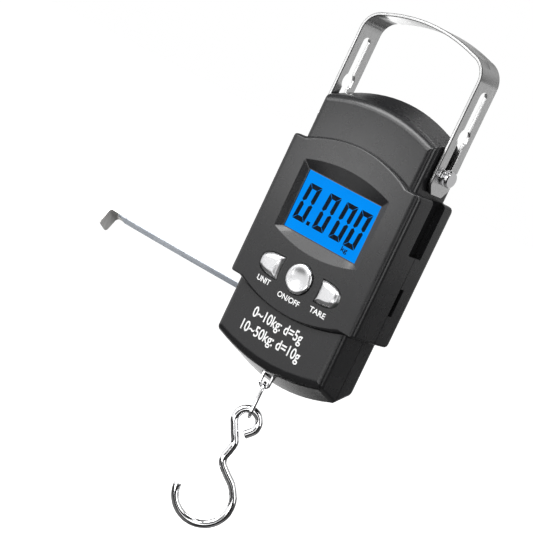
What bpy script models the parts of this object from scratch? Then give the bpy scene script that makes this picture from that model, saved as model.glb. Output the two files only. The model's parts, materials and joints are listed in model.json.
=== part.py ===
"""Digital hanging scale with a pull-out tape, as an assembly of separate pieces.

Lengths below are millimetres, turned into metres when a mesh is made. +Z is up along the casing and
the display faces -Y. Pieces are modelled about the middle of the casing and hang from one empty,
which puts the world origin under the middle of the handle's top bar, where a hand holds it.
"""

import math

import bmesh
import bpy
from mathutils import Matrix, Vector

MM = 0.001
GAP = 0.3  # clearance between solids that touch on the real object

# Driving dimensions of the casing
MIDDLE_WIDTH = 70.0  # across the wide middle section
MIDDLE_HEIGHT = 63.4  # shoulder to shoulder
NARROW_WIDTH = 60.2  # across the arched ends
MIDDLE_FRONT_Y = -14.8
MIDDLE_BACK_Y = 13.4
NARROW_FRONT_Y = -12.8
NARROW_BACK_Y = 12.1
PARTING_Y = 2.2
WALL = 2.0
EDGE_RADIUS = 3.0  # rounding of the front edges
BACK_EDGE_RADIUS = 2.0
MIDDLE_END_SHARE = 0.3  # the middle section's arched front edges are crisper than its sides

# Handle and its pins
PIN_Z = 42.0
STRAP_THICKNESS = 1.4
STRAP_WIDTH = 14.4
STRAP_OUTER_X = 32.4
STRAP_END_Z = 33.6
HANDLE_TOP_Z = 95.2
HANDLE_ARCH = 3.8  # rise of the top bar from its corners to its middle
HANDLE_CORNER_RADIUS = 9.0
SLOT_WIDTH = 4.6
SLOT_TOP_Z = 79.2
KEYHOLE_Z = 59.4
KEYHOLE_RADIUS = 3.8
PIN_RADIUS = 1.5
BUSH_RADIUS = 2.1
PIN_HEAD_RADIUS = 3.5
PIN_END_X = 36.0
GRIP_Z = HANDLE_TOP_Z - STRAP_THICKNESS

# Display and keys
DISPLAY_HALF_WIDTH = 19.6
DISPLAY_BOTTOM_Z = -4.3
DISPLAY_TOP_Z = 20.4
DISPLAY_Y = -13.3
GLASS_Y = -12.1
BOARD_FRONT_Y = -9.7
BOARD_THICKNESS = 1.0
KEY_FRONT_Y = -16.3
KEY_ROW_Z = -20.8
KEY_GAP = 0.3
KEY_FOOT = 0.9  # from the front of a key's rim to its back, which clears the switch when pressed
POWER_KEY_RADIUS = 6.5

# Load line, from the load cell down to the hook
LOAD_Y = -5.3
VIEW_TURN = math.radians(36)  # the eye and the hook hang turned by this angle about the load line
CELL_THICKNESS = 5.0
SHANK_RADIUS = 1.7
STUD_RADIUS = 1.4
STAPLE_WIRE = 0.75
STAPLE_RADIUS = 2.1
STAPLE_CENTRE_Z = -66.3
LINK_WIRE = 0.8
LINK_TOP_Z = -66.7
LINK_BOTTOM_Z = -82.0
LINK_RADIUS = 3.2
HOOK_WIRE = 1.75
HOOK_EYE_Z = -84.2
HOOK_EYE_RADIUS = 5.1
HOOK_EYE_TIP = (1.5, -5.7)  # the eye's wire ends here, beside the shank
HOOK_EYE_START = math.radians(-48)
HOOK_EYE_END = math.radians(212)
HOOK_SHANK = [
    (-2.3, -6.9),
    (-0.7, -10.2),
    (-1.2, -13.8),
    (-2.1, -17.6),
    (-1.2, -20.6),
    (2.1, -23.9),
    (5.9, -27.2),
]
BOWL_RADIUS = 12.1
BOWL_CENTRE = (-2.7, -35.9)  # from the middle of the hook's eye
BOWL_START = math.radians(22)
BOWL_END = math.radians(-182)

# Tape and reel
TAPE_Y = 6.6
TAPE_Z = -38.8
TAPE_DROOP = 0.9  # how far its free end hangs below the slot
TAPE_TILT = math.radians(-27)  # its front edge lies higher than its back edge
TAPE_WIDTH = 6.8
COIL_WIDTH = 6.0  # the pulled-out tape flattens, so it measures wider than its coil
TAPE_THICKNESS = 0.25
TAPE_TIP_X = -116.0
CLIP_THICKNESS = 0.6
REEL_X = -14.0
COIL_RADIUS = 10.4
COIL_BORE = 5.9
HUB_RADIUS = 5.6
REEL_Z = TAPE_Z + COIL_RADIUS + 1.9  # clear of the tilted tape

# Batteries (AAA size)
BATTERY_RADIUS = 5.2
BATTERY_LENGTH = 44.5
BATTERY_X = 5.7
BATTERY_BOTTOM_Z = -10.5
BATTERY_Y = 6.2

CURVE_STEPS = 14  # points along an arched end
CORNER_STEPS = 3
ROUND_STEPS = 24

COLOURS = {
    "casing_plastic": ((0.055, 0.055, 0.058), 0.42, 0.0),
    "key_metal": ((0.82, 0.82, 0.84), 0.22, 1.0),
    "lens": ((0.75, 0.85, 0.95), 0.08, 0.0),
    "display_glass": ((0.02, 0.30, 0.95), 0.15, 0.0),
    "brushed_steel": ((0.66, 0.66, 0.66), 0.35, 1.0),
    "chrome": ((0.86, 0.86, 0.87), 0.08, 1.0),
    "tape_steel": ((0.55, 0.60, 0.64), 0.4, 0.6),
    "clip_steel": ((0.42, 0.42, 0.42), 0.4, 1.0),
    "board": ((0.04, 0.22, 0.09), 0.5, 0.0),
    "dark_plastic": ((0.03, 0.03, 0.03), 0.5, 0.0),
    "white_plastic": ((0.8, 0.8, 0.8), 0.5, 0.0),
    "rubber": ((0.35, 0.2, 0.25), 0.8, 0.0),
    "aluminium": ((0.75, 0.76, 0.78), 0.35, 1.0),
    "battery_wrap": ((0.05, 0.12, 0.35), 0.35, 0.2),
}


# Scene, materials and objects


def clear_scene():
    for old in list(bpy.data.objects):
        bpy.data.objects.remove(old, do_unlink=True)


def collection(name):
    made = bpy.data.collections.new(name)
    bpy.context.scene.collection.children.link(made)
    return made


def material(name):
    if name in bpy.data.materials:
        return bpy.data.materials[name]
    colour, roughness, metallic = COLOURS[name]
    made = bpy.data.materials.new(name)
    made.use_nodes = True
    shader = made.node_tree.nodes["Principled BSDF"]
    shader.inputs["Base Color"].default_value = (*colour, 1.0)
    shader.inputs["Roughness"].default_value = roughness
    shader.inputs["Metallic"].default_value = metallic
    return made


clear_scene()
PARTS = collection("hanging_scale")
CUTTERS = collection("cutters")
DATUM = bpy.data.objects.new("casing_middle", None)
DATUM.location = (0.0, 0.0, -GRIP_Z * MM)
PARTS.objects.link(DATUM)


def add_object(name, mesh, finish, at=(0, 0, 0), turn=(0, 0, 0), smooth=True):
    """An object under the casing's datum; with no finish it is a cutter."""
    obj = bpy.data.objects.new(name, mesh)
    obj.location = Vector(at) * MM
    obj.rotation_euler = turn
    obj.parent = DATUM
    if finish:
        mesh.materials.append(material(finish))
        PARTS.objects.link(obj)
        if smooth:
            mesh.shade_smooth()
            mesh.set_sharp_from_angle(angle=math.radians(35))
    else:
        CUTTERS.objects.link(obj)
        obj.hide_render = True
        obj.display_type = "WIRE"
    return obj


def mesh_from(name, build):
    """A mesh filled by build(bm), in millimetres, scaled to metres."""
    bm = bmesh.new()
    build(bm)
    bmesh.ops.recalc_face_normals(bm, faces=bm.faces)
    bmesh.ops.scale(bm, vec=(MM, MM, MM), verts=bm.verts)
    mesh = bpy.data.meshes.new(name)
    bm.to_mesh(mesh)
    bm.free()
    return mesh


def box(name, finish, low, high):
    size = [b - a for a, b in zip(low, high)]
    centre = [(a + b) / 2 for a, b in zip(low, high)]

    def build(bm):
        bmesh.ops.create_cube(bm, size=1.0, matrix=Matrix.Diagonal((*size, 1.0)))

    return add_object(name, mesh_from(name, build), finish, centre, smooth=False)


def cylinder(name, finish, axis, centre, radius, length, steps=ROUND_STEPS):
    turn = {"X": (0, math.pi / 2, 0), "Y": (math.pi / 2, 0, 0), "Z": (0, 0, 0)}[axis]

    def build(bm):
        bmesh.ops.create_cone(
            bm, cap_ends=True, segments=steps, radius1=radius, radius2=radius, depth=length
        )

    return add_object(name, mesh_from(name, build), finish, centre, turn)


def turned(name, finish, profile, at, turn=(0, 0, 0), closed=False, steps=ROUND_STEPS):
    """A profile of (radius, height) pairs, down its outer side, turned about its own Z axis."""

    def build(bm):
        points = [bm.verts.new((radius, 0, height)) for radius, height in profile]
        for first, second in zip(points, points[1:]):
            bm.edges.new((first, second))
        if closed:
            bm.edges.new((points[-1], points[0]))

    obj = add_object(name, mesh_from(name, build), finish, at, turn)
    spin = obj.modifiers.new("turn", "SCREW")
    spin.steps = steps
    spin.render_steps = steps
    spin.use_merge_vertices = True
    spin.merge_threshold = 1e-6
    spin.use_smooth_shade = True
    return obj


def loft(name, finish, rings, at=(0, 0, 0), turn=(0, 0, 0)):
    """A closed solid through rings of equal point counts, with a face across each end."""

    def build(bm):
        rows = [[bm.verts.new(point) for point in ring] for ring in rings]
        for lower, upper in zip(rows, rows[1:]):
            for i in range(len(lower)):
                j = (i + 1) % len(lower)
                bm.faces.new((lower[i], lower[j], upper[j], upper[i]))
        bm.faces.new(rows[0])
        bm.faces.new(rows[-1])

    return add_object(name, mesh_from(name, build), finish, at, turn)


def ribbon(name, finish, path, thickness, half_widths, at=(0, 0, 0), turn=(0, 0, 0)):
    """A strip along path in the XZ plane, spread along Y and given thickness by Solidify."""

    def build(bm):
        front = [bm.verts.new((x, -w, z)) for (x, z), w in zip(path, half_widths)]
        back = [bm.verts.new((x, w, z)) for (x, z), w in zip(path, half_widths)]
        for i in range(len(path) - 1):
            bm.faces.new((front[i], front[i + 1], back[i + 1], back[i]))

    obj = add_object(name, mesh_from(name, build), finish, at, turn)
    skin = obj.modifiers.new("thickness", "SOLIDIFY")
    skin.thickness = thickness * MM
    skin.offset = 0.0
    skin.use_even_offset = True
    return obj


def wire(name, finish, path, radius, at=(0, 0, 0), turn=(0, 0, 0), cyclic=False, sides=2):
    """A round wire along a path of (x, z) points, as a welded mesh that can take a Boolean."""
    curve = bpy.data.curves.new(name, "CURVE")
    curve.dimensions = "3D"
    curve.bevel_depth = radius * MM
    curve.bevel_resolution = sides
    curve.use_fill_caps = True
    spline = curve.splines.new("POLY")
    spline.points.add(len(path) - 1)
    for point, (x, z) in zip(spline.points, path):
        point.co = (x * MM, 0.0, z * MM, 1.0)
    spline.use_cyclic_u = cyclic
    guide = bpy.data.objects.new(name + "_guide", curve)
    CUTTERS.objects.link(guide)
    bpy.context.view_layer.update()
    evaluated = guide.evaluated_get(bpy.context.evaluated_depsgraph_get())
    mesh = bpy.data.meshes.new_from_object(evaluated)
    bpy.data.objects.remove(guide, do_unlink=True)
    bm = bmesh.new()
    bm.from_mesh(mesh)
    bmesh.ops.remove_doubles(bm, verts=bm.verts, dist=1e-6)
    bmesh.ops.recalc_face_normals(bm, faces=bm.faces)
    bm.to_mesh(mesh)
    bm.free()
    mesh.materials.clear()
    return add_object(name, mesh, finish, at, turn)


def boolean(target, operation, *others):
    for other in others:
        step = target.modifiers.new(f"{operation.lower()}_{other.name}", "BOOLEAN")
        step.operation = operation
        step.object = other


def cut(target, *others):
    boolean(target, "DIFFERENCE", *others)


def join(target, *others):
    boolean(target, "UNION", *others)


# Outlines


def arc(centre, radius, start, end, steps):
    """Points of an arc in a plane, from start to end."""
    angles = [start + (end - start) * i / steps for i in range(steps + 1)]
    return [(centre[0] + radius * math.cos(a), centre[1] + radius * math.sin(a)) for a in angles]


def smooth_path(points, steps):
    """Catmull-Rom points through the given ones."""
    ends = [points[0], *points, points[-1]]
    made = []
    for before, first, second, after in zip(ends, ends[1:], ends[2:], ends[3:]):
        for i in range(steps):
            t = i / steps
            point = []
            for a, b, c, d in zip(before, first, second, after):
                square = (2 * a - 5 * b + 4 * c - d) * t**2
                cube = (3 * b - a - 3 * c + d) * t**3
                point.append(0.5 * (2 * b + (c - a) * t + square + cube))
            made.append(tuple(point))
    return [*made, points[-1]]


class Panel:
    """An upright outline with square shoulders and an arched middle at its top and bottom."""

    def __init__(self, half_width, arch_half, top, top_rise, bottom, bottom_rise, radius):
        self.half_width = half_width
        self.arch_half = arch_half
        self.top = top
        self.top_rise = top_rise
        self.bottom = bottom
        self.bottom_rise = bottom_rise
        self.radius = radius

    def inset(self, by, ends=1.0):
        """Moved inwards by a distance, and at the top and bottom by that share of it."""
        return Panel(
            self.half_width - by,
            self.arch_half - by,
            self.top - by * ends,
            self.top_rise,
            self.bottom + by * ends,
            self.bottom_rise,
            max(self.radius - by, 0.4),
        )

    def blend(self, other, share):
        mixed = [a + (b - a) * share for a, b in zip(vars(self).values(), vars(other).values())]
        return Panel(*mixed)

    def end(self, level, rise, side):
        """One end, from +X to -X for side 1, with its two rounded corners."""
        corner = self.half_width - self.radius
        turn = [i * math.pi / 2 / CORNER_STEPS for i in range(CORNER_STEPS + 1)]
        right = [
            (corner + self.radius * math.cos(a), level - side * self.radius * (1 - math.sin(a)))
            for a in turn
        ]
        arch_half = min(self.arch_half, corner)
        middle = []
        for i in range(CURVE_STEPS + 1):
            x = arch_half * (1 - 2 * i / CURVE_STEPS)
            middle.append((x, level + side * rise * (1 - (x / arch_half) ** 2)))
        if corner - arch_half < 0.01:
            middle = middle[1:-1]
        left = [(-x, z) for x, z in reversed(right)]
        return right + middle + left

    def ring(self, y):
        top = self.end(self.top, self.top_rise, 1)
        bottom = self.end(self.bottom, self.bottom_rise, -1)
        return [(x, y, z) for x, z in top + bottom[::-1]]


def casing_rings(face, parting, face_y, parting_y, radius, ends=1.0, steps=6):
    """Rings from a casing's outer face, over its rounded edge, to the parting plane.

    The rounding reaches in by the radius at the sides and by that times ends at the top and bottom.
    """
    inward = 1 if parting_y > face_y else -1
    rings = []
    for i in range(steps + 1):
        angle = i * math.pi / 2 / steps
        depth = radius * (1 - math.cos(angle))
        share = depth / abs(parting_y - face_y)
        outline = face.blend(parting, share).inset(radius * (1 - math.sin(angle)), ends)
        rings.append(outline.ring(face_y + inward * depth))
    rings.append(parting.ring(parting_y))
    return rings


NARROW_HALF = NARROW_WIDTH / 2
MIDDLE_HALF = MIDDLE_WIDTH / 2
SHOULDER_Z = MIDDLE_HEIGHT / 2
CORNER_RADIUS = 2.0
NARROW_FACE = Panel(NARROW_HALF, NARROW_HALF, 51.5, 4.5, -55.9, 4.0, CORNER_RADIUS)
NARROW_PARTING = Panel(NARROW_HALF, NARROW_HALF, 55.9, 6.0, -60.8, 5.5, CORNER_RADIUS)
NARROW_BACK = Panel(NARROW_HALF, NARROW_HALF, 51.0, 5.0, -55.5, 4.5, CORNER_RADIUS)
MIDDLE_FACE = Panel(MIDDLE_HALF, 30.0, SHOULDER_Z, 6.7, -SHOULDER_Z, 5.6, CORNER_RADIUS)
MIDDLE_INNER = Panel(28.1, 27.0, SHOULDER_Z - WALL, 6.4, -SHOULDER_Z + WALL, 5.3, 1.0)
BEZEL_OUTER = Panel(23.4, 23.4, 24.1, 3.5, -6.5, 3.9, 1.0)
BEZEL_STEP = 0.6  # ledge between the sloping bezel and the display's opening
BEZEL_INNER = Panel(
    DISPLAY_HALF_WIDTH + BEZEL_STEP,
    DISPLAY_HALF_WIDTH + BEZEL_STEP,
    DISPLAY_TOP_Z + BEZEL_STEP,
    0.0,
    DISPLAY_BOTTOM_Z - BEZEL_STEP,
    0.0,
    0.6,
)


# Cutters that both halves of the casing share


def side_cutters():
    """Strap pockets, their outer windows, and the hollows under them, on both sides."""
    made = []
    for side, label in ((-1, "left"), (1, "right")):
        def mirrored(name, low, high, side=side, label=label):
            xs = sorted((side * low[0], side * high[0]))
            return box(f"{name}_{label}", None, (xs[0], *low[1:]), (xs[1], *high[1:]))

        made.append(mirrored("strap_pocket", (30.5, -8.1, 2.0), (33.0, 8.1, SHOULDER_Z + 1)))
        made.append(mirrored("strap_window", (32.0, -3.3, 7.4), (37.0, 6.1, SHOULDER_Z + 1)))
        made.append(mirrored("side_hollow", (30.4, -12.4, -29.5), (33.0, 11.2, -0.2)))
    return made


def key_outline(side, grow):
    """D-shaped key: a rounded outer side and a slightly hollow inner one, grown by an offset."""
    inner = 10.7 - grow
    outer = 22.0 + grow
    half = 4.9 + grow
    outline = []
    steps = 16
    for i in range(steps + 1):
        angle = math.pi / 2 - math.pi * i / steps
        x = inner + (outer - inner) * abs(math.cos(angle)) ** 0.62
        z = half * math.copysign(abs(math.sin(angle)) ** 0.8, math.sin(angle))
        outline.append((x, z))
    hollow = 0.45
    for i in range(1, 5):
        t = i / 5
        outline.append((inner + hollow * 4 * t * (1 - t), -half + 2 * half * t))
    return [(side * x, KEY_ROW_Z + z) for x, z in outline]


def key_hole(name, side):
    rings = [[(x, y, z) for x, z in key_outline(side, KEY_GAP)] for y in (-16.0, -11.0)]
    return loft(name, None, rings)


SIDE_CUTTERS = side_cutters()
POST_SPOTS = [(-14.0, 49.3), (14.0, 49.3), (-22.5, -50.5), (22.5, -50.5)]


def front_shell():
    """Front half of the casing: display recess, key holes, pin holes and the eye's hole."""
    parting_y = PARTING_Y - GAP / 2
    shell = loft(
        "front_shell",
        "casing_plastic",
        casing_rings(NARROW_FACE, NARROW_PARTING, NARROW_FRONT_Y, parting_y, EDGE_RADIUS),
    )
    middle = casing_rings(
        MIDDLE_FACE, MIDDLE_FACE, MIDDLE_FRONT_Y, parting_y, EDGE_RADIUS, ends=MIDDLE_END_SHARE
    )
    join(shell, loft("front_middle", None, middle))
    inner_face_y = NARROW_FRONT_Y + WALL
    cavity = [NARROW_FACE.inset(WALL).ring(inner_face_y), NARROW_PARTING.inset(WALL).ring(parting_y + 1)]
    cut(shell, loft("front_cavity", None, cavity))
    deeper = [MIDDLE_INNER.ring(MIDDLE_FRONT_Y + WALL), MIDDLE_INNER.ring(inner_face_y + 1)]
    cut(shell, loft("front_middle_cavity", None, deeper))
    for i, (x, z) in enumerate(POST_SPOTS):
        length = parting_y - inner_face_y + 0.5
        centre = (x, parting_y - length / 2, z)
        join(shell, cylinder(f"front_post_{i}", None, "Y", centre, 2.7, length, 12))
        cut(shell, cylinder(f"front_post_hole_{i}", None, "Y", (x, parting_y, z), 1.5, 14, 10))
    cut(shell, *SIDE_CUTTERS)
    bezel_back = DISPLAY_Y - 0.15
    bezel = [BEZEL_OUTER.ring(MIDDLE_FRONT_Y - 0.01), BEZEL_INNER.ring(bezel_back)]
    cut(shell, loft("bezel", None, bezel))
    half = DISPLAY_HALF_WIDTH + GAP
    low = (-half, -15.0, DISPLAY_BOTTOM_Z - GAP)
    cut(shell, box("display_opening", None, low, (half, -11.0, DISPLAY_TOP_Z + GAP)))
    cut(shell, key_hole("unit_key_hole", -1))
    cut(shell, key_hole("tare_key_hole", 1))
    at = (0, -13.5, KEY_ROW_Z)
    cut(shell, cylinder("power_key_hole", None, "Y", at, POWER_KEY_RADIUS + KEY_GAP, 5, 32))
    cut(shell, cylinder("pin_holes", None, "X", (0, 0, PIN_Z), PIN_RADIUS + GAP, 80, 16))
    cut(shell, cylinder("eye_hole", None, "Z", (0, LOAD_Y, -63), 3.3, 14, 20))
    return shell


TRAY_LOW = (-12.6, -0.1, -14.0)
TRAY_HIGH = (12.6, 12.0, 36.4)
TRAY_WALL = 0.9
DOOR_HALF_WIDTH = 14.0
DOOR_BOTTOM_Z = -15.6
DOOR_TOP_Z = 28.6
DOOR_THICKNESS = 1.5


def rear_shell():
    """Rear half: battery tray and its door's recess, tape slot, screw wells and a side slot."""
    parting_y = PARTING_Y + GAP / 2
    shell = loft(
        "rear_shell",
        "casing_plastic",
        casing_rings(NARROW_BACK, NARROW_PARTING, NARROW_BACK_Y, parting_y, BACK_EDGE_RADIUS),
    )
    middle = casing_rings(MIDDLE_FACE, MIDDLE_FACE, MIDDLE_BACK_Y, parting_y, BACK_EDGE_RADIUS)
    join(shell, loft("rear_middle", None, middle))
    inner_face_y = NARROW_BACK_Y - WALL
    cavity = [NARROW_BACK.inset(WALL).ring(inner_face_y), NARROW_PARTING.inset(WALL).ring(parting_y - 1)]
    cut(shell, loft("rear_cavity", None, cavity))
    deeper = [MIDDLE_INNER.ring(MIDDLE_BACK_Y - WALL), MIDDLE_INNER.ring(inner_face_y - 1)]
    cut(shell, loft("rear_middle_cavity", None, deeper))
    for i, (x, z) in enumerate(POST_SPOTS):
        length = NARROW_BACK_Y - 0.5 - parting_y
        centre = (x, parting_y + length / 2, z)
        join(shell, cylinder(f"rear_post_{i}", None, "Y", centre, 3.8, length, 16))
        cut(shell, cylinder(f"screw_well_{i}", None, "Y", (x, NARROW_BACK_Y, z), 2.9, 13, 16))
        cut(shell, cylinder(f"screw_hole_{i}", None, "Y", (x, parting_y, z), 1.6, 12, 10))
    join(shell, box("battery_tray", None, TRAY_LOW, TRAY_HIGH))
    low = [a + TRAY_WALL for a in TRAY_LOW]
    high = [a - TRAY_WALL for a in TRAY_HIGH]
    cut(shell, box("battery_bay", None, low, (high[0], BATTERY_Y + BATTERY_RADIUS + GAP, high[2])))
    door_way = (high[0], MIDDLE_BACK_Y + 2, DOOR_TOP_Z - 1.0)
    cut(shell, box("battery_bay_mouth", None, (low[0], BATTERY_Y, low[2]), door_way))
    door_low = (-DOOR_HALF_WIDTH - GAP, MIDDLE_BACK_Y - DOOR_THICKNESS - GAP, DOOR_BOTTOM_Z - GAP)
    door_high = (DOOR_HALF_WIDTH + GAP, MIDDLE_BACK_Y + 2, DOOR_TOP_Z + GAP)
    cut(shell, box("door_recess", None, door_low, door_high))
    cut(shell, *SIDE_CUTTERS)
    slot_half = TAPE_WIDTH / 2 + 0.4
    slot = box("tape_slot", None, (-31.0, -slot_half, -0.7), (-26.0, slot_half, 0.7))
    slot.location += Vector((0, TAPE_Y, TAPE_Z)) * MM
    slot.rotation_euler = (TAPE_TILT, 0, 0)
    cut(shell, slot)
    cut(shell, box("side_slot", None, (32.0, 1.0, -18.4), (36.0, 4.9, -6.3)))
    return shell


def battery_door():
    """Flat door in the rear panel, with a thumb groove near its free end."""
    low = (-DOOR_HALF_WIDTH, MIDDLE_BACK_Y - DOOR_THICKNESS, DOOR_BOTTOM_Z)
    door = box("battery_door", "casing_plastic", low, (DOOR_HALF_WIDTH, MIDDLE_BACK_Y, DOOR_TOP_Z))
    for i in range(3):
        groove_z = DOOR_TOP_Z - 4.0 - 2.2 * i
        low = (-6.0, MIDDLE_BACK_Y - 0.6, groove_z - 0.6)
        high = (6.0, MIDDLE_BACK_Y + 1, groove_z + 0.6)
        cut(door, box(f"thumb_groove_{i}", None, low, high))
    return door


# Keys, display and electronics


def d_key(name, side):
    """A D-shaped key: domed front, a plain stem, and a rim that keeps it behind the front wall."""
    rim_y = MIDDLE_FRONT_Y + WALL + GAP
    stations = [
        (KEY_FRONT_Y, -1.3),
        (KEY_FRONT_Y + 0.25, -0.5),
        (KEY_FRONT_Y + 0.7, 0.0),
        (rim_y, 0.0),
        (rim_y + 0.01, 0.6),
        (rim_y + KEY_FOOT - 0.1, 0.6),
        (rim_y + KEY_FOOT - 0.09, -1.0),
        (rim_y + KEY_FOOT, -1.0),
    ]
    rings = [[(x, y, z) for x, z in key_outline(side, grow)] for y, grow in stations]
    return loft(name, "key_metal", rings)


def keys():
    d_key("unit_button", -1)
    d_key("tare_button", 1)
    height = MIDDLE_FRONT_Y + WALL + GAP + KEY_FOOT - KEY_FRONT_Y
    profile = [
        (0.0, 0.0),
        (5.4, 0.0),
        (5.4, 0.1),
        (POWER_KEY_RADIUS + 0.6, 0.1),
        (POWER_KEY_RADIUS + 0.6, KEY_FOOT),
        (POWER_KEY_RADIUS, KEY_FOOT),
        (POWER_KEY_RADIUS, height - 0.6),
        (POWER_KEY_RADIUS - 0.3, height - 0.15),
        (POWER_KEY_RADIUS - 0.9, height),
        (4.0, height - 0.4),
        (2.0, height - 0.7),
        (0.0, height - 0.8),
    ]
    at = (0, KEY_FRONT_Y + height, KEY_ROW_Z)
    turned("power_button", "key_metal", profile[::-1], at, (math.pi / 2, 0, 0))
    for name, x in (("unit_switch", -16.3), ("power_switch", 0.0), ("tare_switch", 16.3)):
        back = BOARD_FRONT_Y - GAP
        low = (x - 2.2, back - 0.5, KEY_ROW_Z - 2.2)
        body = box(name, "dark_plastic", low, (x + 2.2, back, KEY_ROW_Z + 2.2))
        join(body, cylinder(name + "_plunger", None, "Y", (x, back - 0.5, KEY_ROW_Z), 1.2, 0.4, 12))


def display():
    half = DISPLAY_HALF_WIDTH
    low = (-half, DISPLAY_Y, DISPLAY_BOTTOM_Z)
    box("display_lens", "lens", low, (half, DISPLAY_Y + 0.9, DISPLAY_TOP_Z))
    low = (-half - 1.0, GLASS_Y, DISPLAY_BOTTOM_Z - 1.0)
    box("lcd_glass", "display_glass", low, (half + 1.0, GLASS_Y + 1.1, DISPLAY_TOP_Z + 1.0))
    behind = (GLASS_Y + 1.1 + GAP, BOARD_FRONT_Y - GAP)
    low = (-half + 1.0, behind[0], DISPLAY_BOTTOM_Z + 2.6)
    box("backlight", "white_plastic", low, (half - 1.0, behind[1], DISPLAY_TOP_Z - 1.0))
    low = (-half + 2.0, behind[0], DISPLAY_BOTTOM_Z)
    box("zebra_strip", "rubber", low, (half - 2.0, behind[1], DISPLAY_BOTTOM_Z + 2.0))


def electronics():
    board_back = BOARD_FRONT_Y + BOARD_THICKNESS
    board = box("circuit_board", "board", (-24.0, BOARD_FRONT_Y, -27.0), (24.0, board_back, 24.5))
    for i, (x, z) in enumerate(((-22, 22.5), (22, 22.5), (-22, -25), (22, -25))):
        cut(board, cylinder(f"board_hole_{i}", None, "Y", (x, BOARD_FRONT_Y, z), 1.1, 4, 10))
    chip = [(0.0, 1.9), (1.6, 1.8), (3.4, 1.2), (4.4, 0.0), (0.0, 0.0)]
    at = (-12, board_back + GAP, 8)
    turned("control_chip", "dark_plastic", chip, at, (-math.pi / 2, 0, 0), steps=16)


# Load line


def load_cell():
    """S-shaped beam: two long slots and a round window leave the bending section between them."""
    front = LOAD_Y - CELL_THICKNESS / 2
    back = LOAD_Y + CELL_THICKNESS / 2
    cell = box("load_cell", "aluminium", (-11.0, front, -50.0), (11.0, back, -12.0))
    cut(cell, box("upper_slot", None, (-7.0, front - 1, -20.4), (12.0, back + 1, -18.9)))
    cut(cell, box("lower_slot", None, (-12.0, front - 1, -37.6), (7.0, back + 1, -36.1)))
    cut(cell, cylinder("cell_window", None, "Y", (0, LOAD_Y, -28.2), 4.4, 8, 20))
    cut(cell, box("nut_window", None, (-3.6, front - 1, -45.6), (3.6, back + 1, -41.0)))
    cut(cell, cylinder("eye_bolt_hole", None, "Z", (0, LOAD_Y, -48), SHANK_RADIUS + GAP, 8, 16))
    cut(cell, cylinder("stud_hole", None, "Z", (0, LOAD_Y, -13), STUD_RADIUS + GAP, 9, 16))
    box("gauge_potting", "white_plastic", (-7.5, front - 0.7, -26.8), (7.5, front - 0.3, -23.2))


def handle_yoke():
    """Cross bar between the handle pins, with the stem that the load cell hangs from."""
    yoke = box("handle_yoke", "brushed_steel", (-27.4, -3.2, PIN_Z - 3.2), (27.4, 3.2, PIN_Z + 3.2))
    stem = CELL_THICKNESS / 2
    join(yoke, box("yoke_stem", None, (-4.5, LOAD_Y - stem, -11.6), (4.5, LOAD_Y + stem, PIN_Z + 1)))
    for side in (-1, 1):
        at = (side * 24.0, 0, PIN_Z)
        cut(yoke, cylinder(f"yoke_bore_{side}", None, "X", at, PIN_RADIUS + GAP, 8, 16))
    cut(yoke, cylinder("yoke_stud_bore", None, "Z", (0, LOAD_Y, -9), STUD_RADIUS + GAP, 9, 16))
    stud = [(0.0, 4.0), (STUD_RADIUS, 4.0), (STUD_RADIUS, -4.0), (0.0, -4.0)]
    turned("yoke_stud", "brushed_steel", stud, (0, LOAD_Y, -11.8), steps=12)


def handle_pins():
    """Shoulder pins with a disc head, and the flanged bushes that run in the strap's slots."""
    strap_inner = STRAP_OUTER_X - STRAP_THICKNESS
    flange = STRAP_OUTER_X + GAP + 0.8
    for side, label in ((-1, "left"), (1, "right")):
        turn = (0, side * math.pi / 2, 0)
        base = 21.0
        pin = [
            (0.0, PIN_END_X),
            (PIN_HEAD_RADIUS - 0.4, PIN_END_X),
            (PIN_HEAD_RADIUS, PIN_END_X - 0.4),
            (PIN_HEAD_RADIUS, PIN_END_X - 1.4),
            (PIN_RADIUS, PIN_END_X - 1.4),
            (PIN_RADIUS, base),
            (0.0, base),
        ]
        turned(f"handle_pin_{label}", "chrome", pin, (0, 0, PIN_Z), turn)
        bore = PIN_RADIUS + 0.08
        bush = [
            (bore, flange),
            (PIN_HEAD_RADIUS - 0.2, flange),
            (PIN_HEAD_RADIUS, flange - 0.2),
            (PIN_HEAD_RADIUS, STRAP_OUTER_X + GAP),
            (BUSH_RADIUS, STRAP_OUTER_X + GAP),
            (BUSH_RADIUS, strap_inner - 0.4),
            (bore, strap_inner - 0.4),
        ]
        turned(f"handle_bush_{label}", "chrome", bush, (0, 0, PIN_Z), turn, closed=True)


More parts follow.
